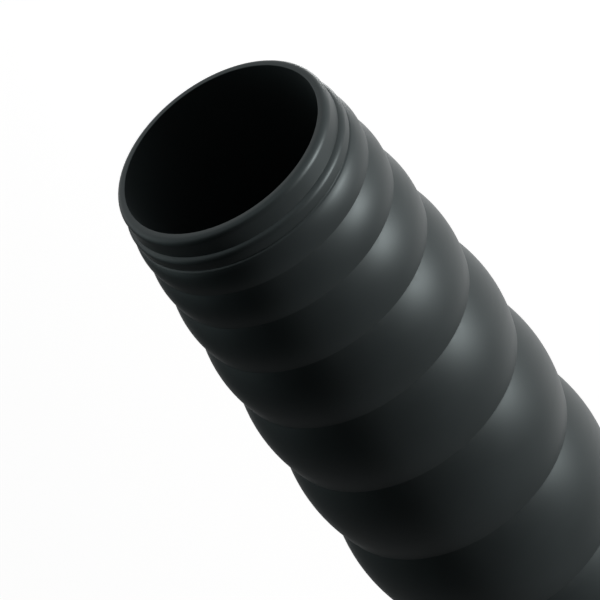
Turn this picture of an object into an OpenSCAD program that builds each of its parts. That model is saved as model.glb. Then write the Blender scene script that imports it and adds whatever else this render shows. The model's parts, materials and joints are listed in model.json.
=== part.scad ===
// Short corrugated vacuum hose with one swivel cuff and one fixed cuff.
// It stands on its fixed cuff: +Z runs along the bore to the swivel mouth, and the
// origin is the centre of the face that it stands on.
// Depths are counted from the end face of a cuff into the hose. Both ends share one
// outline, and the rings grow from each end to the middle.

/* [Bore and cuffs] */
// Radius of the clear bore through both cuffs
bore_r = 19.05; // [16:0.05:19.1]
// Outer radius of the lip
lip_r = 21.2; // [21.15:0.05:21.4]
// Length of the lip, from the end face to the crease in front of the band
lip_h = 4.2; // [3.8:0.1:4.5]
// Outer radius of the band behind the crease
band_r = 22; // [21.9:0.05:22.05]
// Radius of the round noses on the lip and on the band
nose_r = 1.4; // [1:0.05:1.4]
// Depth at which the corrugated wall starts
wall_start = 7.1; // [6.5:0.1:8]
// Width of the running gap between the swivel cuff and the wall
swivel_gap = 0.08; // [0.05:0.01:0.3]
// Depth of the inner end of the swivel cuff's sleeve
sleeve_end = 36.6; // [36:0.2:40]

/* [Corrugated wall] */
// Number of rings in the wall
ring_count = 18; // [16:2:22]
// Rings over which the length grows to its full value
growth_rings = 8; // [7.6:0.1:8.4]
// Length that the growth starts from
short_ring = 4.75; // [4.5:0.05:5]
// Length of a full ring
full_ring = 23.2; // [22:0.1:25]
// Radius of the valley at each end of the wall
valley_start_r = 22.05; // [22:0.05:22.4]
// What the valley radius gains towards the middle
valley_gain = 3.2; // [3:0.05:4]
// Wall length over which the valley radius grows
valley_reach = 80; // [60:1:85]
// Height of a ring's bulge as a share of its length
bulge_share = 0.072; // [0.05:0.001:0.1]
// Thickness of the rubber between the sleeves
wall_t = 2.2; // [2:0.1:2.6]
// Length of the soft shoulder on the rings that meet the cuffs
shoulder_l = 1.6; // [1:0.1:2]
// What that shoulder falls away at its edge
shoulder_drop = 0.24; // [0.1:0.01:0.3]

/* [Inner parts] */
// Wire radius of the hoops in the valleys
hoop_wire_r = 0.7; // [0.5:0.05:0.8]
// Wire radius of the seal rings
seal_wire_r = 0.52; // [0.45:0.01:0.55]
// Thickness of the thrust washer
washer_t = 1.07; // [0.8:0.01:1.2]
// Running clearance on radius between the sleeve and the adaptor
sleeve_gap = 0.1; // [0.05:0.01:0.1]

/* [Hidden] */
$fn = 96;
bulge_steps = 14;   // straight steps that follow a ring's bulge
round_steps = 5;    // straight steps that follow a small rounded edge
nose_steps = 9;     // and those that follow a nose

// The cuff's edges
bore_edge = 0.65;
sleeve_edge = 0.3;
band_edge = 0.15;

// Sleeves, as radii
sleeve_r = bore_r + 1.15;
adaptor_bore_r = sleeve_r + sleeve_gap;
seat_front_r = 21.15;
seat_r = 21.7;
seat_step = 14;     // depth at which the seat grows
seat_cone = 1;
key_h = 0.35;       // keys that hold the rubber
key_l = 1.5;
key_depths = [10.5, 17.5, 24, 30];

// Snap ring and its groove in the swivel cuff's sleeve
snap_t = 1;
snap_r = 21.1;
snap_groove_r = sleeve_r - 0.45;
snap_play = 0.05;
snap_gap_angle = 26;
seal_depths = [18.2, 30.6];
seal_groove_w = 1.4;

// Rings are numbered from the mouth, 1 to ring_count. Valley 0 is the wall's start
// at the mouth, and valley i lies between ring i and ring i + 1.
rigid_rings = 3;    // at each end, moulded on a sleeve
first_flex = rigid_rings + 1;
last_flex = ring_count - rigid_rings;
function from_end(k) = min(k, ring_count + 1 - k);
growth_lead = 0.45; // how far into the growth the first ring is, in rings
function growth(k) = (1 - cos(180 * min(1, (k + growth_lead) / growth_rings))) / 2;
function ring_l(k) = short_ring + (full_ring - short_ring) * growth(from_end(k));
function valley_d(i) = i == 0 ? wall_start : valley_d(i - 1) + ring_l(i);
wall_end = valley_d(ring_count);
hose_l = wall_end + wall_start;
function run(i) = min(valley_d(i) - wall_start, wall_end - valley_d(i));
function valley_r(i) = valley_start_r + valley_gain * sin(90 * min(1, run(i) / valley_reach));
rigid_end = valley_d(rigid_rings);

function two(k) = k < 10 ? str("0", k) : str(k);
function ring_name(k) = str("ring_", two(k));
function hoop_name(i) = str("hoop_", two(i - rigid_rings + 1));
rings = [for (k = [1 : ring_count]) k];
hoops = [for (i = [rigid_rings : last_flex]) i];

// Points [radius, depth] on a round corner about centre c
function corner(c, r, from, to, steps = round_steps) =
    [for (s = [0 : steps]) let (a = from + (to - from) * s / steps)
        c + r * [cos(a), sin(a)]];

// Outside of a cuff from its bore's edge to the back of the band. The band's nose
// comes out of the lip's side at a sharp crease, already turned by this angle.
crease_a = acos(1 - (band_r - lip_r) / nose_r);
function cuff_outline(back) = concat(
    corner([bore_r + bore_edge, bore_edge], bore_edge, 180, 270),
    corner([lip_r - nose_r, nose_r], nose_r, 270, 360, nose_steps),
    corner([band_r - nose_r, lip_h + nose_r * sin(crease_a)], nose_r, 360 - crease_a, 360, nose_steps),
    corner([band_r - band_edge, back - band_edge], band_edge, 0, 90));

// One key is a ramp that falls towards the cuff and a square back
function key(d, seat) = [[seat, d], [seat + key_h, d + key_l], [seat, d + key_l]];

// Outside of the seat that the rigid rings are moulded on, from depth start
function seat_outline(start) = concat(
    [[seat_front_r, start]],
    key(key_depths[0], seat_front_r),
    [[seat_front_r, seat_step], [seat_r, seat_step + seat_cone]],
    [for (i = [1 : 3]) each key(key_depths[i], seat_r)],
    [[seat_r, rigid_end]]);

// Ring k's outside from its upper valley to its lower one
function shoulder(k, u) = k == 1 ? shoulder_drop * pow(max(0, 1 - u * ring_l(k) / shoulder_l), 2) : 0;
function ring_outline(k, inset = 0) =
    [for (s = [0 : bulge_steps]) let (
        u = s / bulge_steps,
        line = valley_r(k - 1) + (valley_r(k) - valley_r(k - 1)) * u,
        bulge = 4 * bulge_share * ring_l(k) * u * (1 - u))
        [line + bulge - shoulder(k, u) - inset, valley_d(k - 1) + ring_l(k) * u]];

function reversed(points) = [for (i = [len(points) - 1 : -1 : 0]) points[i]];

// Turns a flat outline of [radius, depth] points about the bore
module from_mouth() {
    translate([0, 0, hose_l]) mirror([0, 0, 1]) rotate_extrude() children();
}
module from_tail() {
    rotate_extrude() children();
}

module mouth_cuff() {
    snap_d = rigid_end + snap_play;
    color("#2a2f31") from_mouth() polygon(concat(
        cuff_outline(wall_start - swivel_gap),
        [[sleeve_r, wall_start - swivel_gap],
         [sleeve_r, snap_d], [snap_groove_r, snap_d],
         [snap_groove_r, snap_d + snap_t + snap_play], [sleeve_r, snap_d + snap_t + snap_play],
         [sleeve_r, sleeve_end - sleeve_edge], [sleeve_r - sleeve_edge, sleeve_end],
         [bore_r + sleeve_edge, sleeve_end], [bore_r, sleeve_end - sleeve_edge]]));
}

module snap_ring() {
    d = rigid_end + 1.5 * snap_play;
    color("#b9bcc0") difference() {
        from_mouth() translate([snap_groove_r + snap_play, d])
            square([snap_r - snap_groove_r - snap_play, snap_t]);
        translate([0, 0, hose_l - d - snap_t - 1])
            linear_extrude(snap_t + 2)
                polygon([[0, 0],
                         2 * snap_r * [cos(snap_gap_angle / 2), sin(snap_gap_angle / 2)],
                         2 * snap_r * [cos(snap_gap_angle / 2), -sin(snap_gap_angle / 2)]]);
    }
}

module thrust_washer() {
    front = wall_start - swivel_gap + 0.08;
    inner_r = adaptor_bore_r + 0.1;
    color("#e9e7df") from_mouth() translate([inner_r, front])
        square([seat_front_r - 0.1 - inner_r, washer_t]);
}

module seal_ring(d) {
    color("#1b1d1e") from_mouth() translate([sleeve_r + 0.06 + seal_wire_r, d]) circle(seal_wire_r);
}

module mouth_adaptor() {
    front = wall_start - swivel_gap + 0.08 + washer_t;
    groove_r = sleeve_r + 0.06 + 2 * seal_wire_r;
    color("#3b4042") from_mouth() difference() {
        polygon(concat([[adaptor_bore_r, front]], seat_outline(front), [[adaptor_bore_r, rigid_end]]));
        for (d = seal_depths)
            translate([adaptor_bore_r - 1, d - seal_groove_w / 2])
                square([groove_r - adaptor_bore_r + 1, seal_groove_w]);
    }
}

module tail_cuff() {
    color("#2a2f31") from_tail() polygon(concat(
        cuff_outline(wall_start),
        seat_outline(wall_start),
        [[bore_r + sleeve_edge, rigid_end], [bore_r, rigid_end - sleeve_edge]]));
}

// A rigid ring fills the space between its outline and the keyed seat
module rigid_ring_outline(k) {
    difference() {
        polygon(concat(ring_outline(k), [[seat_front_r - 1, valley_d(k)], [seat_front_r - 1, valley_d(k - 1)]]));
        polygon(concat([[0, wall_start - 1]], seat_outline(wall_start - 1), [[0, rigid_end]]));
        hoop_grooves(k);
    }
}

// A flexible ring is an even skin, grooved half round for the hoop at each end
module flex_ring_outline(k) {
    difference() {
        polygon(concat(ring_outline(k), reversed(ring_outline(k, wall_t))));
        hoop_grooves(k);
    }
}

module hoop_outline(i, play = 0) {
    translate([valley_r(i) - wall_t / 2, valley_d(i)]) circle(hoop_wire_r + play);
}
module hoop_grooves(k) {
    for (i = [k - 1, k])
        if (i >= rigid_rings && i <= last_flex) hoop_outline(i, 0.03);
}

module ring(k) {
    color("#303537") {
        if (k >= first_flex && k <= last_flex) from_mouth() flex_ring_outline(k);
        else if (k < first_flex) from_mouth() rigid_ring_outline(k);
        else from_tail() rigid_ring_outline(ring_count + 1 - k);
    }
}

module hoop(i) {
    color("#8d9297") from_mouth() hoop_outline(i);
}

mouth_cuff();
snap_ring();
thrust_washer();
seal_ring(seal_depths[0]);  // seal_ring_front
seal_ring(seal_depths[1]);  // seal_ring_rear
mouth_adaptor();
tail_cuff();
for (k = rings) ring(k);
for (i = hoops) hoop(i);
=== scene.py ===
"""Looks for a short corrugated vacuum hose with a swivel cuff and a fixed cuff.

The hose stands on its fixed cuff: +Z runs along the bore to the swivel mouth.
Every piece is turned on the bore's axis, as the real one is moulded on a mandrel.
Depths are counted from the end face of a cuff into the hose.
"""

import json
import math

import bpy
import numpy as np
from bpy.props import FloatProperty, FloatVectorProperty, IntProperty, PointerProperty
from bpy.types import Operator, Panel, PropertyGroup
from mathutils import Matrix, Vector


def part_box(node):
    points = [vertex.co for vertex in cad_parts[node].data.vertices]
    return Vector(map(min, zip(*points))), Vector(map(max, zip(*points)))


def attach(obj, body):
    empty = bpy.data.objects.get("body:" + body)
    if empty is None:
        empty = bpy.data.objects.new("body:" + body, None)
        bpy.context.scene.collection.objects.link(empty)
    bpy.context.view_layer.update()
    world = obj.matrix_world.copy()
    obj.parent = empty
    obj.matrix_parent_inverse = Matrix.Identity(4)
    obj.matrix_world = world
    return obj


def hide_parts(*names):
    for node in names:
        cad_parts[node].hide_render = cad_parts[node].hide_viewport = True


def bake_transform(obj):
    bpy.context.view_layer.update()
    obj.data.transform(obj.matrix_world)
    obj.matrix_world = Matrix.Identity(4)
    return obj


bl_info = {
    "name": "Vacuum hose",
    "version": (1, 0, 0),
    "blender": (4, 5, 0),
    "location": "3D View > Sidebar > Hose",
    "description": "Builds a corrugated vacuum hose with its cuffs, rings and studio",
    "category": "Add Mesh",
}

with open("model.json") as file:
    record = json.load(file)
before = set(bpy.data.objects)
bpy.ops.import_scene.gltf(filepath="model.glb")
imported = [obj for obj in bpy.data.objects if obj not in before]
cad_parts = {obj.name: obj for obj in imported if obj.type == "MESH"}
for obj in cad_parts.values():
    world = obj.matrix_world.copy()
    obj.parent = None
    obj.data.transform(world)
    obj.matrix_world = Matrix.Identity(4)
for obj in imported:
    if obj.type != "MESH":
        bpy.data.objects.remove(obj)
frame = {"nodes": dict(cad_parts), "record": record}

MM = 0.001
RINGS = sorted(n for n in frame["nodes"] if n.startswith("ring_"))
BODY_OF = {n: b for b, members in frame["record"]["behaviour"]["bodies"].items() for n in members}
RIGID = 3  # rings at each end that sit on a sleeve
KEYS = (10.5 * MM, 17.5 * MM, 24 * MM, 30 * MM)  # depths at which the keys' ramps start
SEAT_CONE = 1 * MM  # length over which the seat grows
SNAP_PLAY = 0.05 * MM  # under the snap ring, and on both its sides together
HAIR = 0.01 * MM  # more than a rounding error, less than any form
MOUTH_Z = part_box("mouth_cuff")[1].z
BORE = frame["record"]["mounts"][0]["dims"]["r_mm"] * MM
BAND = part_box("mouth_cuff")[1].x
WALL_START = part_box(RINGS[-1])[0].z
SLEEVE_END = MOUTH_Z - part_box("mouth_cuff")[0].z
SEAT_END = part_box("tail_cuff")[1].z

# Straight steps that follow each round form
LIP_STEPS = 20
BAND_STEPS = 16
EDGE_STEPS = 5
WALL_EDGE_STEPS = 4
GROOVE_STEPS = 10

SMOOTH_BELOW = math.radians(35)  # edges flatter than this are shaded smooth
MERGE_OUTLINE = 1e-7  # points of an outline closer than this are one
MERGE_TURN = 2e-6  # and points where a turn closes
MARKS = 13  # heights at which a ring's exposure is kept
CREST_POWER = 0.7  # below 1, a ring stands out over more of its length


# ---------------------------------------------------------------- sizes and colours


def length(name, text, size):
    return FloatProperty(name=name, description=text, default=size * MM, unit="LENGTH")


def count(name, text, value, least, most):
    return IntProperty(name=name, description=text, default=value, min=least, max=most)


def angle(name, text, degrees):
    return FloatProperty(name=name, description=text, default=math.radians(degrees), subtype="ANGLE")


def share(name, text, value):
    return FloatProperty(name=name, description=text, default=value, min=0, max=1)


def colour(name, text, value):
    return FloatVectorProperty(
        name=name, description=text, default=(*value, 1), size=4, subtype="COLOR", min=0, max=1
    )


class HoseWall(PropertyGroup):
    """Sizes of the corrugated wall that its solids don't already fix"""

    segments: count("Turns", "Sides round each turned piece", 144, 48, 360)
    bulge: FloatProperty(
        name="Bulge", description="Height of a ring's bulge as a share of its length",
        default=0.072, min=0.05, max=0.1,
    )
    bulge_steps: count("Bulge steps", "Straight steps that follow a ring's bulge", 28, 8, 60)
    valley_round: length("Valley round", "How far a valley is rounded along the wall", 0.05)
    shoulder: length("Shoulder", "Length of the soft shoulder that meets a cuff", 1.6)
    shoulder_drop: length("Shoulder drop", "What that shoulder falls away at its edge", 0.24)
    edge: length("Edge", "Round edge of the wall against a cuff", 0.18)
    thickness: length("Wall", "Thickness of the rubber between the sleeves", 2.2)
    groove: length("Hoop groove", "Radius of the groove that holds a hoop", 0.73)


class HoseCuff(PropertyGroup):
    """Sizes of both cuffs"""

    lip: length("Lip", "Outer radius of the lip", 21.2)
    lip_length: length("Lip length", "From the end face to the crease in front of the band", 4.2)
    nose: length("Nose", "Radius of the round noses on the lip and on the band", 1.4)
    lip_nose: length("Lip nose", "How far the lip's nose reaches over its end face", 1.12)
    bore_edge: length("Bore edge", "Round edge of the bore", 0.12)
    flare: length("Flare", "How far the bore opens towards its edge", 0.3)
    flare_length: length("Flare length", "Depth over which the bore opens", 12)
    band_edge: length("Band edge", "Round edge at the back of the band", 0.2)
    gap: length("Swivel gap", "Running gap between the swivel cuff and the wall", 0.11)
    sleeve: length("Sleeve", "Thickness of the swivel cuff's sleeve", 1.15)
    sleeve_edge: length("Sleeve edge", "Round edge of a sleeve's inner end", 0.3)
    seat_front: length("Seat", "Radius of the seat under the first rings", 21.15)
    seat_rear: length("Rear seat", "Radius of the seat under the other moulded rings", 21.7)
    seat_step: length("Seat step", "Depth at which the seat grows", 14)
    key_height: length("Key height", "How far a key stands into the rubber", 0.35)
    key_length: length("Key length", "Length of a key's ramp", 1.5)


class HoseFinish(PropertyGroup):
    """Colours and gloss"""

    rubber: colour("Rubber", "Colour of the corrugated wall", (0.022, 0.028, 0.029))
    rubber_rough: share("Rubber roughness", "Dullness of the wall", 0.47)
    plastic: colour("Cuff plastic", "Colour of both cuffs", (0.022, 0.028, 0.029))
    plastic_rough: share("Cuff roughness", "Dullness of the cuffs", 0.46)
    bore_matt: share("Matt bore", "How much duller the bore is, where fittings rub it", 0.1)
    cool: colour("Cool gloss", "Tint of the gloss on the black pieces", (0.81, 0.98, 1))
    gloss: share("Gloss", "Strength of the gloss on the black pieces", 0.4)
    dust: colour("Dust", "Colour of the dust in valleys and creases", (0.2, 0.19, 0.17))
    dusty: share("Dustiness", "How much dust lies in valleys and creases", 0.02)
    worn: share("Wear", "How far handling has polished what stands out", 0.3)
    adaptor: colour("Adaptor plastic", "Colour of the adaptor in the hose", (0.04, 0.045, 0.047))
    washer: colour("Washer plastic", "Colour of the thrust washer", (0.78, 0.76, 0.7))
    seal: colour("Seal rubber", "Colour of the seal rings", (0.012, 0.012, 0.013))
    steel: colour("Steel", "Colour of the hoops and the snap ring", (0.55, 0.56, 0.57))


class HoseStage(PropertyGroup):
    """Camera, lamps and floor"""

    aim: FloatVectorProperty(
        name="Aim", description="Point that the camera looks at, from the mouth's centre", size=3,
        default=(-4.97 * MM, 0, -38.17 * MM), subtype="XYZ", unit="LENGTH",
    )
    distance: length("Distance", "Camera to aim", 608.06)
    azimuth: angle("Azimuth", "Turn of the camera about the hose", -0.269)
    elevation: angle("Elevation", "Height over the horizon", 39.028)
    roll: angle("Roll", "Turn of the camera about its own axis", -37.3)
    lens: FloatProperty(name="Lens", description="Focal length for a 36 mm sensor", default=200)
    floor: colour("Floor", "Colour of the floor", (0.5, 0.5, 0.5))
    floor_shade: colour(
        "Floor in bounced light", "Colour that the floor throws back at the hose", (0.06, 0.06, 0.06)
    )
    floor_glow: share("Floor glow", "What lifts the pale floor to white", 0.88)
    # A painted pool of light on the floor by the hose, which only the hose's shine sees
    floor_painted_pool: share("Floor by the hose", "How white a shine sees the floor by the hose", 0.17)
    room_light: share("Room light", "Even light from all round", 0.02)


# ---------------------------------------------------------------- modelling helpers


def deselect():
    """Leaves nothing selected, because every operator acts on all that is."""
    if bpy.context.object and bpy.context.object.mode != "OBJECT":
        bpy.ops.object.mode_set(mode="OBJECT")
    bpy.ops.object.select_all(action="DESELECT")


def turn(name, outline):
    """Turns a closed outline of (radius, z) points about the bore into a solid."""
    deselect()
    start = outline[0]
    bpy.ops.mesh.primitive_plane_add(size=2 * MM, location=(start[0], 0, start[1]))
    piece = bpy.context.object
    piece.name = piece.data.name = name
    bpy.ops.object.transform_apply(location=True, rotation=True, scale=True)
    bpy.ops.object.mode_set(mode="EDIT")
    bpy.ops.mesh.merge(type="CENTER")
    last = start
    for point in outline[1:] + [start]:
        step = (point[0] - last[0], 0, point[1] - last[1])
        bpy.ops.mesh.extrude_vertices_move(TRANSFORM_OT_translate={"value": step})
        last = point
    bpy.ops.mesh.select_all(action="SELECT")
    bpy.ops.mesh.remove_doubles(threshold=MERGE_OUTLINE)
    turns = bpy.context.scene.hose_wall.segments
    bpy.ops.mesh.spin(steps=turns, angle=2 * math.pi, center=(0, 0, 0), axis=(0, 0, 1))
    bpy.ops.mesh.select_all(action="SELECT")
    bpy.ops.mesh.remove_doubles(threshold=MERGE_TURN)
    bpy.ops.mesh.normals_make_consistent(inside=False)
    bpy.ops.object.mode_set(mode="OBJECT")
    bpy.ops.object.shade_smooth_by_angle(angle=SMOOTH_BELOW)
    return piece


def arc(centre, radius, start, end, steps):
    """Points on a round corner, from one angle to another in degrees."""
    angles = (math.radians(start + (end - start) * s / steps) for s in range(steps + 1))
    return [(centre[0] + radius * math.cos(a), centre[1] + radius * math.sin(a)) for a in angles]


def from_mouth(outline):
    return [(r, MOUTH_Z - depth) for r, depth in outline]


def from_mouth_marks(marks):
    return [(MOUTH_Z - depth, share_out) for depth, share_out in marks]


def keep_exposure(piece, marks, inside):
    """Keeps how far each point stands out, from (z, share) marks, and what lies in the bore.

    The bore is neither a crest nor a hollow, so it counts as half out.
    """
    mesh = piece.data
    co = np.array([v.co for v in mesh.vertices])
    heights, shares = zip(*sorted(marks))
    exposure = np.interp(co[:, 2], heights, shares)
    in_bore = np.hypot(co[:, 0], co[:, 1]) < inside
    exposure[in_bore] = 0.5
    mesh.attributes.new("exposure", "FLOAT", "POINT").data.foreach_set("value", exposure)
    mesh.attributes.new("in_bore", "FLOAT", "POINT").data.foreach_set("value", in_bore.astype(float))


def finish_piece(piece, node, material):
    """Gives a piece its finish and puts it in the place of a solid."""
    piece.data.materials.append(bpy.data.materials[material])
    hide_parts(node)


# ---------------------------------------------------------------- cuffs


def cuff_front(cuff, back):
    """Outside of a cuff as (radius, depth), from its bore's edge to the back of the band."""
    crease = math.acos(1 - (BAND - cuff.lip) / cuff.nose)
    band_nose = (BAND - cuff.nose, cuff.lip_length + cuff.nose * math.sin(crease))
    entry = BORE + cuff.flare + cuff.bore_edge
    quarter = arc((0, 0), 1, 270, 360, LIP_STEPS)
    lip_nose = [(cuff.lip + (r - 1) * cuff.lip_nose, (z + 1) * cuff.nose) for r, z in quarter]
    return (
        [(BORE, cuff.flare_length)]
        + arc((entry, cuff.bore_edge), cuff.bore_edge, 180, 270, EDGE_STEPS)
        + lip_nose
        + arc(band_nose, cuff.nose, 360 - math.degrees(crease), 360, BAND_STEPS)
        + arc((BAND - cuff.band_edge, back - cuff.band_edge), cuff.band_edge, 0, 90, EDGE_STEPS)
    )


def cuff_exposure(cuff):
    """Shares by depth: the noses stand out, the crease and the seam don't."""
    return (
        (0, 1), (cuff.nose, 1), (cuff.lip_length - cuff.nose / 2, 0.5), (cuff.lip_length, 0),
        (cuff.lip_length + cuff.nose, 1), (WALL_START - cuff.nose / 2, 0.6), (WALL_START, 0),
    )


def bore_limit(cuff):
    """Radius under which a point of a cuff belongs to its bore."""
    return BORE + cuff.flare + HAIR


def seat(start, end, cuff):
    """Keyed seat between two depths, which the rubber is moulded on."""
    radius = cuff.seat_front if start < cuff.seat_step else cuff.seat_rear
    points = [(radius, start)]
    for depth in sorted((*KEYS, cuff.seat_step)):
        if depth == cuff.seat_step and start <= depth < end:
            points += [(radius, depth), (cuff.seat_rear, depth + SEAT_CONE)]
            radius = cuff.seat_rear
        elif start <= depth < end:
            back = depth + cuff.key_length
            points += [(radius, depth), (radius + cuff.key_height, back), (radius, back)]
    return points + [(radius, end)]


class HOSE_OT_swivel_cuff(Operator):
    """Turns the cuff at the mouth with its sleeve and the groove of the snap ring"""

    bl_idname = "hose.swivel_cuff"
    bl_label = "Swivel cuff"

    def execute(self, context):
        cuff = context.scene.hose_cuff
        back = WALL_START - cuff.gap
        ring_low, ring_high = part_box("snap_ring")
        ring_inner = inner_radius("snap_ring") - SNAP_PLAY
        groove = (MOUTH_Z - ring_high.z - SNAP_PLAY / 2, MOUTH_Z - ring_low.z + SNAP_PLAY / 2)
        outer, edge = BORE + cuff.sleeve, cuff.sleeve_edge
        outline = (
            cuff_front(cuff, back)
            + [(outer, back), (outer, groove[0]), (ring_inner, groove[0])]
            + [(ring_inner, groove[1]), (outer, groove[1])]
            + arc((outer - edge, SLEEVE_END - edge), edge, 0, 90, EDGE_STEPS)
            + arc((BORE + edge, SLEEVE_END - edge), edge, 90, 180, EDGE_STEPS)
        )
        piece = turn("swivel_cuff_moulding", from_mouth(outline))
        keep_exposure(piece, from_mouth_marks(cuff_exposure(cuff)), bore_limit(cuff))
        finish_piece(piece, "mouth_cuff", "Cuff plastic")
        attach(piece, BODY_OF["mouth_cuff"])
        return {"FINISHED"}


class HOSE_OT_fixed_cuff(Operator):
    """Turns the cuff at the tail with the keyed seat that the rubber is moulded on"""

    bl_idname = "hose.fixed_cuff"
    bl_label = "Fixed cuff"

    def execute(self, context):
        cuff = context.scene.hose_cuff
        edge = cuff.sleeve_edge
        outline = (
            cuff_front(cuff, WALL_START)
            + seat(WALL_START, SEAT_END, cuff)
            + arc((BORE + edge, SEAT_END - edge), edge, 90, 180, EDGE_STEPS)
        )
        piece = turn("fixed_cuff_moulding", outline)
        keep_exposure(piece, cuff_exposure(cuff), bore_limit(cuff))
        finish_piece(piece, "tail_cuff", "Cuff plastic")
        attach(piece, BODY_OF["tail_cuff"])
        return {"FINISHED"}


# ---------------------------------------------------------------- corrugated wall


def solid_radii(node):
    """Height and radius of every point of a solid."""
    co = np.array([v.co for v in frame["nodes"][node].data.vertices])
    return co[:, 2], np.hypot(co[:, 0], co[:, 1])


def inner_radius(node):
    return float(solid_radii(node)[1].min())


def valley_radius(node, z):
    """Largest radius of a ring's solid in the plane at height z."""
    heights, radii = solid_radii(node)
    return float(radii[np.abs(heights - z) < 2 * HAIR].max())


def wall_profile(start, end, tall, at_cuff):
    """Points (radius, distance) of a ring's outside, from one of its ends to the other.

    The bulge is a parabola between two valleys, and the valleys are rounded. A ring that
    meets a cuff starts with a small round edge and a soft shoulder instead.
    """
    wall = bpy.context.scene.hose_wall
    points = []
    for s in range(wall.bulge_steps + 1):
        u = (1 - math.cos(math.pi * s / wall.bulge_steps)) / 2
        near = min(u, 1 - u) * tall
        if near < wall.valley_round and not (at_cuff and u < 0.5):
            near = (near**2 + wall.valley_round**2) / (2 * wall.valley_round)
        radius = start + (end - start) * u + 4 * wall.bulge * near * (1 - near / tall)
        if at_cuff:
            radius += wall.shoulder_drop * (1 - u - max(0, 1 - u * tall / wall.shoulder) ** 2)
        points.append((radius, u * tall))
    if at_cuff:
        clear = 1.5 * wall.edge  # the bulge takes over a little behind the round edge
        rest = [p for p in points if p[1] > clear]
        points = arc((start - wall.edge, wall.edge), wall.edge, 270, 360, WALL_EDGE_STEPS) + rest
    return points


def ring_outside(node):
    """A ring's outside from its upper end to its lower one."""
    low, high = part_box(node)
    top, bottom = valley_radius(node, high.z), valley_radius(node, low.z)
    if node == RINGS[-1]:
        profile = wall_profile(bottom, top, high.z - low.z, True)
        return [(radius, low.z + distance) for radius, distance in reversed(profile)]
    profile = wall_profile(top, bottom, high.z - low.z, node == RINGS[0])
    return [(radius, high.z - distance) for radius, distance in profile]


def hoop_groove(radius, z, side, wall):
    """Half-round groove for a hoop in a ring's end face; side is +1 at its top end."""
    start, end = (0, 180) if side < 0 else (0, -180)
    return arc((radius - wall.thickness / 2, z), wall.groove, start, end, GROOVE_STEPS)


def finish_ring(piece, node):
    low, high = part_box(node)
    tall = high.z - low.z
    marks = [(low.z + tall * u, math.sin(math.pi * u) ** CREST_POWER) for u in np.linspace(0, 1, MARKS)]
    keep_exposure(piece, marks, BORE)
    finish_piece(piece, node, "Wall rubber")


class HOSE_OT_flexible_rings(Operator):
    """Turns the flexible rings between the two sleeves, each an even skin"""

    bl_idname = "hose.flexible_rings"
    bl_label = "Flexible rings"

    def execute(self, context):
        wall = context.scene.hose_wall
        for node in RINGS[RIGID:-RIGID]:
            low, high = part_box(node)
            outside = ring_outside(node)
            inside = [(r - wall.thickness, z) for r, z in reversed(outside)]
            foot = hoop_groove(valley_radius(node, low.z), low.z, -1, wall)
            head = hoop_groove(valley_radius(node, high.z), high.z, 1, wall)
            piece = turn("rubber_" + node, outside + foot + inside + head[::-1])
            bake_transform(piece)
            finish_ring(piece, node)
        return {"FINISHED"}


class HOSE_OT_moulded_rings(Operator):
    """Turns the rings at both ends, moulded on the keyed seats of the sleeves"""

    bl_idname = "hose.moulded_rings"
    bl_label = "Moulded rings"

    def execute(self, context):
        wall, cuff = context.scene.hose_wall, context.scene.hose_cuff
        for node in RINGS[:RIGID]:
            low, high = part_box(node)
            inside = from_mouth(seat(MOUTH_Z - high.z, MOUTH_Z - low.z, cuff))[::-1]
            foot = []
            if node == RINGS[RIGID - 1]:
                foot = hoop_groove(valley_radius(node, low.z), low.z, -1, wall)
            piece = turn("rubber_" + node, ring_outside(node) + foot + inside)
            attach(piece, BODY_OF[node])
            finish_ring(piece, node)
        for node in RINGS[-RIGID:]:
            low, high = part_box(node)
            head = []
            if node == RINGS[-RIGID]:
                head = hoop_groove(valley_radius(node, high.z), high.z, 1, wall)[::-1]
            piece = turn("rubber_" + node, ring_outside(node) + seat(low.z, high.z, cuff) + head)
            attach(piece, BODY_OF[node])
            finish_ring(piece, node)
        return {"FINISHED"}


# ---------------------------------------------------------------- effects that finishes share


def new_group(name, inputs, outputs):
    """An empty node group: inputs are (name, socket, default), outputs (name, socket)."""
    group = bpy.data.node_groups.new(name, "ShaderNodeTree")
    for label, kind, value in inputs:
        socket = group.interface.new_socket(label, in_out="INPUT", socket_type=kind)
        if value is not None:
            socket.default_value = value
    for label, kind in outputs:
        group.interface.new_socket(label, in_out="OUTPUT", socket_type=kind)
    return group, group.nodes.new("NodeGroupInput"), group.nodes.new("NodeGroupOutput")


def put(tree, socket, value):
    """Links an input to another socket, or sets it to a plain value."""
    if hasattr(value, "is_output"):
        tree.links.new(value, socket)
    else:
        socket.default_value = value


def maths(tree, kind, first, second=None):
    """A Math node; each value is a number or a socket."""
    node = tree.nodes.new("ShaderNodeMath")
    node.operation = kind
    put(tree, node.inputs[0], first)
    if second is not None:
        put(tree, node.inputs[1], second)
    return node.outputs[0]


def vector_maths(tree, kind, place):
    """A Vector Math node on a place."""
    node = tree.nodes.new("ShaderNodeVectorMath")
    node.operation = kind
    tree.links.new(place, node.inputs[0])
    return node


def noise(tree, place, scale, detail=2.0, stretch=None):
    """A Noise texture on a place, its scale a number or a socket, at times stretched."""
    if stretch:
        mapping = tree.nodes.new("ShaderNodeMapping")
        mapping.inputs["Scale"].default_value = stretch
        tree.links.new(place, mapping.inputs["Vector"])
        place = mapping.outputs["Vector"]
    texture = tree.nodes.new("ShaderNodeTexNoise")
    texture.inputs["Detail"].default_value = detail
    tree.links.new(place, texture.inputs["Vector"])
    put(tree, texture.inputs["Scale"], scale)
    return texture.outputs["Fac"]


def spread(tree, value, low, high):
    """Opens the middle of a value, from low to high, to the full 0 to 1."""
    node = tree.nodes.new("ShaderNodeMapRange")
    node.inputs["From Min"].default_value = low
    node.inputs["From Max"].default_value = high
    tree.links.new(value, node.inputs["Value"])
    return node.outputs["Result"]


FALL_OFF = 3.0  # how fast wear thins out below a crest, and dust above a hollow
LINE_WAVER = 0.0005  # how much a drawn line changes on its way round


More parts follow.
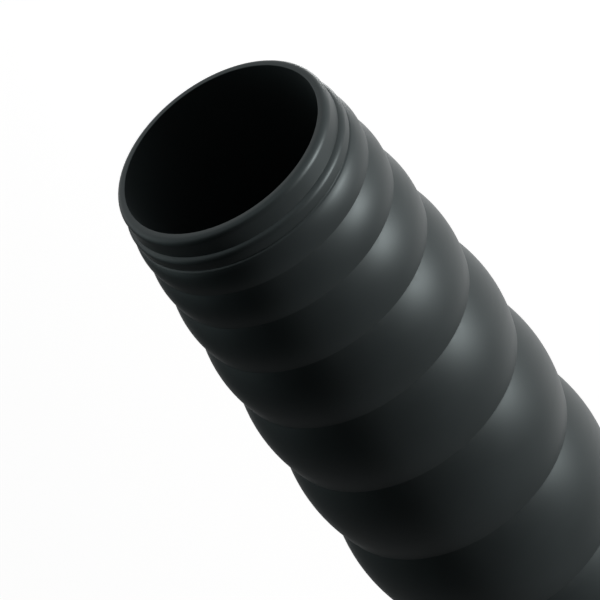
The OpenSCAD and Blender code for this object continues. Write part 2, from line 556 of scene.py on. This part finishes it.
def moulded_grain():
    """Fine grain of a mould's face, and the broad mottle that comes of cooling."""
    group, given, out = new_group(
        "Moulded grain",
        (("Place", "NodeSocketVector", None), ("Fineness", "NodeSocketFloat", 3000.0)),
        (("Height", "NodeSocketFloat"), ("Mottle", "NodeSocketFloat")),
    )
    fine = noise(group, given.outputs["Place"], given.outputs["Fineness"], detail=3.0)
    broad = noise(group, given.outputs["Place"], scale=60.0, detail=3.0)
    group.links.new(fine, out.inputs["Height"])
    group.links.new(spread(group, broad, low=0.3, high=0.7), out.inputs["Mottle"])
    return group


def handled_wear():
    """Where hands have polished what stands out, in short streaks round the hose."""
    group, given, out = new_group(
        "Handled wear",
        (("Place", "NodeSocketVector", None), ("Exposure", "NodeSocketFloat", 0.5)),
        (("Mask", "NodeSocketFloat"),),
    )
    rubbed = noise(group, given.outputs["Place"], scale=90.0, detail=4.0, stretch=(1, 1, 5))
    streaks = spread(group, rubbed, low=0.4, high=0.7)
    crests = maths(group, "POWER", given.outputs["Exposure"], FALL_OFF)
    group.links.new(maths(group, "MULTIPLY", streaks, crests), out.inputs["Mask"])
    return group


def settled_dust():
    """Dust that stays in valleys and creases, and thins out above them."""
    group, given, out = new_group(
        "Settled dust",
        (("Place", "NodeSocketVector", None), ("Exposure", "NodeSocketFloat", 0.5)),
        (("Mask", "NodeSocketFloat"),),
    )
    hollow = maths(group, "POWER", maths(group, "SUBTRACT", 1.0, given.outputs["Exposure"]), FALL_OFF)
    specks = spread(group, noise(group, given.outputs["Place"], scale=700.0, detail=4.0), low=0.3, high=0.75)
    group.links.new(maths(group, "MULTIPLY", hollow, specks), out.inputs["Mask"])
    return group


def drawn_lines():
    """Fine lines that run round a turned or drawn piece of metal."""
    group, given, out = new_group(
        "Drawn lines", (("Place", "NodeSocketVector", None),), (("Lines", "NodeSocketFloat"),)
    )
    split = group.nodes.new("ShaderNodeSeparateXYZ")
    group.links.new(given.outputs["Place"], split.inputs[0])
    x_squared = maths(group, "MULTIPLY", split.outputs["X"], split.outputs["X"])
    y_squared = maths(group, "MULTIPLY", split.outputs["Y"], split.outputs["Y"])
    radius = maths(group, "SQRT", maths(group, "ADD", x_squared, y_squared))
    turn_angle = maths(group, "ARCTAN2", split.outputs["Y"], split.outputs["X"])
    waver = maths(group, "MULTIPLY", turn_angle, LINE_WAVER)
    join = group.nodes.new("ShaderNodeCombineXYZ")
    for socket, value in zip(join.inputs, (radius, waver, split.outputs["Z"])):
        group.links.new(value, socket)
    group.links.new(noise(group, join.outputs[0], scale=9000.0, detail=3.0), out.inputs["Lines"])
    return group


# ---------------------------------------------------------------- materials


POLISH = 0.1  # roughness that full wear takes away
DUST_DULL = 0.06  # roughness that full dust adds


def new_material(name):
    material = bpy.data.materials.new(name)
    material.use_nodes = True
    return material, material.node_tree, material.node_tree.nodes["Principled BSDF"]


def effect(tree, group, **sockets):
    """Places a shared effect in a material and sets or links its inputs."""
    node = tree.nodes.new("ShaderNodeGroup")
    node.node_tree = bpy.data.node_groups[group]
    for label, value in sockets.items():
        put(tree, node.inputs[label], value)
    return node.outputs


def blend_colours(tree, factor, first, second):
    """A Mix node between two colours; each is a colour or a socket."""
    node = tree.nodes.new("ShaderNodeMix")
    node.data_type = "RGBA"
    tree.links.new(factor, node.inputs[0])
    put(tree, node.inputs[6], first)
    put(tree, node.inputs[7], second)
    return node.outputs[2]


def tinted(shade, factor):
    return (*(channel * factor for channel in shade[:3]), 1)


def mottled(tree, mask, shade, dark, light):
    """A colour that goes from a darker to a lighter tint of a shade."""
    return blend_colours(tree, mask, tinted(shade, dark), tinted(shade, light))


def varied(tree, mask, least, more):
    """A value that is least where the mask is 0, with more on top of it where it is 1."""
    value = maths(tree, "MULTIPLY_ADD", mask, more)
    value.node.inputs[2].default_value = least
    return value


def kept_value(tree, name):
    """What a piece keeps at its points under a name."""
    node = tree.nodes.new("ShaderNodeAttribute")
    node.attribute_name = name
    return node.outputs["Fac"]


def bump(tree, height, strength, depth):
    node = tree.nodes.new("ShaderNodeBump")
    node.inputs["Strength"].default_value = strength
    node.inputs["Distance"].default_value = depth
    tree.links.new(height, node.inputs["Height"])
    return node.outputs["Normal"]


def object_place(tree):
    return tree.nodes.new("ShaderNodeTexCoord").outputs["Object"]


def black_moulding(name, shade, rough, fineness, depth, finish):
    """Satin black, moulded: mottled, polished where it stands out, dusty in its hollows."""
    material, tree, shader = new_material(name)
    place = object_place(tree)
    exposure = kept_value(tree, "exposure")
    grain = effect(tree, "Moulded grain", Place=place, Fineness=fineness)
    wear = effect(tree, "Handled wear", Place=place, Exposure=exposure)["Mask"]
    dust = effect(tree, "Settled dust", Place=place, Exposure=exposure)["Mask"]
    thin_dust = maths(tree, "MULTIPLY", dust, finish.dusty)
    clean = mottled(tree, grain["Mottle"], shade, dark=0.9, light=1.12)
    tree.links.new(blend_colours(tree, thin_dust, clean, finish.dust), shader.inputs["Base Color"])
    dull = varied(tree, grain["Mottle"], least=rough - 0.015, more=0.03)
    polished = maths(tree, "SUBTRACT", dull, maths(tree, "MULTIPLY", wear, POLISH * finish.worn))
    dusted = maths(tree, "ADD", polished, maths(tree, "MULTIPLY", dust, DUST_DULL))
    matt = maths(tree, "MULTIPLY", kept_value(tree, "in_bore"), finish.bore_matt)
    tree.links.new(maths(tree, "ADD", dusted, matt), shader.inputs["Roughness"])
    tree.links.new(bump(tree, grain["Height"], strength=0.3, depth=depth), shader.inputs["Normal"])
    shader.inputs["Specular IOR Level"].default_value = finish.gloss
    shader.inputs["Specular Tint"].default_value = finish.cool
    return material


def plain_moulding(name, shade, rough, fineness):
    """An inner piece of plastic or soft rubber, with its grain and mottle."""
    material, tree, shader = new_material(name)
    grain = effect(tree, "Moulded grain", Place=object_place(tree), Fineness=fineness)
    tone = mottled(tree, grain["Mottle"], shade, dark=0.88, light=1.1)
    tree.links.new(tone, shader.inputs["Base Color"])
    tree.links.new(varied(tree, grain["Mottle"], least=rough, more=0.08), shader.inputs["Roughness"])
    tree.links.new(bump(tree, grain["Height"], strength=0.3, depth=0.02 * MM), shader.inputs["Normal"])
    return material


def bright_steel(name, shade, rough):
    """Drawn or turned steel with fine lines round it."""
    material, tree, shader = new_material(name)
    lines = effect(tree, "Drawn lines", Place=object_place(tree))["Lines"]
    tree.links.new(mottled(tree, lines, shade, dark=0.8, light=1.15), shader.inputs["Base Color"])
    tree.links.new(varied(tree, lines, least=rough, more=0.2), shader.inputs["Roughness"])
    tree.links.new(bump(tree, lines, strength=0.25, depth=0.01 * MM), shader.inputs["Normal"])
    shader.inputs["Metallic"].default_value = 1
    return material


class HOSE_OT_finishes(Operator):
    """Makes the finishes and gives them to the solids that stay"""

    bl_idname = "hose.finishes"
    bl_label = "Finishes"

    def execute(self, context):
        finish = context.scene.hose_finish
        for make in (moulded_grain, handled_wear, settled_dust, drawn_lines):
            make()
        black_moulding("Wall rubber", finish.rubber, finish.rubber_rough, 2600.0, 0.012 * MM, finish)
        black_moulding("Cuff plastic", finish.plastic, finish.plastic_rough, 3400.0, 0.008 * MM, finish)
        inner = {
            "mouth_adaptor": plain_moulding("Adaptor plastic", finish.adaptor, 0.42, 2600.0),
            "thrust_washer": plain_moulding("Washer plastic", finish.washer, 0.3, 3400.0),
            "seal_ring": plain_moulding("Seal rubber", finish.seal, 0.38, 4200.0),
            "snap_ring": bright_steel("Snap ring steel", finish.steel, 0.25),
            "hoop": bright_steel("Hoop wire", finish.steel, 0.2),
        }
        for node, solid in frame["nodes"].items():
            for start, material in inner.items():
                if node.startswith(start):
                    solid.material_slots[0].material = material
        return {"FINISHED"}


# ---------------------------------------------------------------- stage


# Each lamp's name, azimuth in degrees, distance and height of its middle, width and
# height of its face, light at the hose, and colour
LAMPS = (
    ("key softbox", 61, 0.8, 0.21, 0.21, 0.14, 3.4, (1, 0.95, 0.94)),
    ("right rear softbox", 152, 0.8, 0.112, 0.3, 0.2, 0.8, (1, 1, 1)),
    ("left fill", -110, 0.9, 0.35, 0.7, 0.7, 0.2, (0.8, 1, 1)),
)
LAMPS_FACE = 0.75  # share of the hose's height that the lamps are turned to

# The backdrop's white side as a shine meets it: its azimuth and elevation in degrees, and
# the cosines from it between which the white fades in
WHITE_ON_FLOOR = (148, 0, (0.3, 0.9))
WHITE_IN_ROOM = (160, 45, (-0.15, 0.15))

FLOOR_SIZE = 8
PAINTED_POOL_REACH = (0.5, 0.08)  # distances between which a painted pool of light makes the floor lighter towards the hose
PAINTED_POOL_FAR = 0.03  # how white a shine sees the floor beyond that painted pool of light
SENSOR_MM = 36


def lamp(name, azimuth, distance, height, width, tall, light, tone):
    """A soft lamp that faces the upper hose; its light is the irradiance there."""
    target = Vector((0, 0, MOUTH_Z * LAMPS_FACE))
    place = direction(math.radians(azimuth), 0) * distance + Vector((0, 0, height))
    away = place - target
    deselect()
    bpy.ops.object.light_add(type="AREA", location=place)
    softbox = bpy.context.object
    softbox.name = softbox.data.name = name
    softbox.rotation_mode = "QUATERNION"
    softbox.rotation_quaternion = away.to_track_quat("Z", "Y")
    softbox.data.shape = "RECTANGLE"
    softbox.data.size, softbox.data.size_y = width, tall
    softbox.data.energy = light * math.pi * away.length_squared
    softbox.data.color = tone
    softbox.visible_camera = False


def direction(azimuth, elevation):
    """Unit vector from the hose; azimuth 0 is towards -Y and grows towards +X."""
    return Vector((
        math.sin(azimuth) * math.cos(elevation), -math.cos(azimuth) * math.cos(elevation), math.sin(elevation)
    ))


def seen_as_backdrop(tree, place, azimuth, elevation, fade, least):
    """1 where the eye or clear glass looks at the backdrop, and where a shine meets its white side.

    The white backdrop stands behind the hose, to the right, and curves up over it. The room
    in front of it is dark, so a shine fades out there to its least share.
    """
    side = direction(math.radians(azimuth), math.radians(elevation))
    facing = vector_maths(tree, "DOT_PRODUCT", place)
    facing.inputs[1].default_value = side
    white = spread(tree, facing.outputs["Value"], *fade)
    white.node.interpolation_type = "SMOOTHSTEP"
    put(tree, white.node.inputs["To Min"], least)
    path = tree.nodes.new("ShaderNodeLightPath")
    shine = maths(tree, "MULTIPLY", path.outputs["Is Glossy Ray"], white)
    straight = maths(tree, "MAXIMUM", path.outputs["Is Camera Ray"], path.outputs["Is Transmission Ray"])
    return maths(tree, "MAXIMUM", straight, shine)


def lay_floor(stage):
    """The pale floor, which keeps the hose's shadow."""
    deselect()
    bpy.ops.mesh.primitive_plane_add(size=FLOOR_SIZE, location=(0, 0, 0))
    floor = bpy.context.object
    floor.name = "floor"
    material, tree, shader = new_material("Pale floor")
    shader.inputs["Roughness"].default_value = 1
    shader.inputs["Specular IOR Level"].default_value = 0
    place = object_place(tree)
    away = vector_maths(tree, "NORMALIZE", place).outputs["Vector"]
    reach = vector_maths(tree, "LENGTH", place).outputs["Value"]
    # A painted pool of light: the floor's colour and glow grow towards the hose, and the hose shows it as a
    # painted reflection
    foot = spread(tree, reach, *PAINTED_POOL_REACH)
    foot.node.inputs["To Min"].default_value = PAINTED_POOL_FAR
    foot.node.inputs["To Max"].default_value = stage.floor_painted_pool
    seen = seen_as_backdrop(tree, away, *WHITE_ON_FLOOR, foot)
    tree.links.new(blend_colours(tree, seen, stage.floor_shade, stage.floor), shader.inputs["Base Color"])
    shader.inputs["Emission Color"].default_value = (1, 1, 1, 1)
    tree.links.new(maths(tree, "MULTIPLY", seen, stage.floor_glow), shader.inputs["Emission Strength"])
    floor.data.materials.append(material)


def light_room(scene, stage):
    """The room round the hose: white where it is seen, and nearly dark as a source of light."""
    scene.world = bpy.data.worlds.new("Studio")
    scene.world.use_nodes = True
    tree = scene.world.node_tree
    background = tree.nodes["Background"]
    background.inputs["Color"].default_value = (1, 1, 1, 1)
    sky = tree.nodes.new("ShaderNodeTexCoord").outputs["Generated"]
    level = spread(tree, seen_as_backdrop(tree, sky, *WHITE_IN_ROOM, 0), 0, 1)
    level.node.inputs["To Min"].default_value = stage.room_light
    tree.links.new(level, background.inputs["Strength"])


def set_camera(scene, stage):
    """The camera, aimed at a point under the mouth and turned about its own axis."""
    aim = Vector((stage.aim[0], stage.aim[1], MOUTH_Z + stage.aim[2]))
    back = direction(stage.azimuth, stage.elevation)
    deselect()
    bpy.ops.object.camera_add(location=aim + back * stage.distance)
    camera = bpy.context.object
    camera.rotation_mode = "QUATERNION"
    upright = (-back).to_track_quat("-Z", "Y")
    camera.rotation_quaternion = upright @ Matrix.Rotation(stage.roll, 3, "Z").to_quaternion()
    camera.data.lens = stage.lens
    camera.data.sensor_width = SENSOR_MM
    scene.camera = camera


class HOSE_OT_stage(Operator):
    """Lays the floor, hangs the lamps and sets the camera"""

    bl_idname = "hose.stage"
    bl_label = "Stage"

    def execute(self, context):
        stage = context.scene.hose_stage
        context.scene.view_settings.view_transform = "Standard"
        lay_floor(stage)
        for each in LAMPS:
            lamp(*each)
        light_room(context.scene, stage)
        set_camera(context.scene, stage)
        return {"FINISHED"}


class HOSE_PT_panel(Panel):
    """Sizes, colours and steps of the hose"""

    bl_label = "Vacuum hose"
    bl_idname = "HOSE_PT_panel"
    bl_space_type = "VIEW_3D"
    bl_region_type = "UI"
    bl_category = "Hose"

    def draw(self, context):
        for place in GROUPS:
            box = self.layout.box()
            group = getattr(context.scene, place)
            for name in group.__annotations__:
                box.prop(group, name)
        for step in STEPS:
            self.layout.operator(step.bl_idname)


GROUPS = {"hose_wall": HoseWall, "hose_cuff": HoseCuff, "hose_finish": HoseFinish, "hose_stage": HoseStage}
STEPS = (
    HOSE_OT_finishes, HOSE_OT_swivel_cuff, HOSE_OT_fixed_cuff, HOSE_OT_flexible_rings, HOSE_OT_moulded_rings,
    HOSE_OT_stage,
)


def register():
    for item in (*GROUPS.values(), *STEPS, HOSE_PT_panel):
        bpy.utils.register_class(item)
    for place, group in GROUPS.items():
        setattr(bpy.types.Scene, place, PointerProperty(type=group))


def unregister():
    for place in GROUPS:
        delattr(bpy.types.Scene, place)
    for item in reversed((*GROUPS.values(), *STEPS, HOSE_PT_panel)):
        bpy.utils.unregister_class(item)


def main():
    register()
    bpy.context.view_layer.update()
    bpy.ops.hose.finishes()
    bpy.ops.hose.swivel_cuff()
    bpy.ops.hose.fixed_cuff()
    bpy.ops.hose.flexible_rings()
    bpy.ops.hose.moulded_rings()
    bpy.ops.hose.stage()


if __name__ == "__main__":
    main()
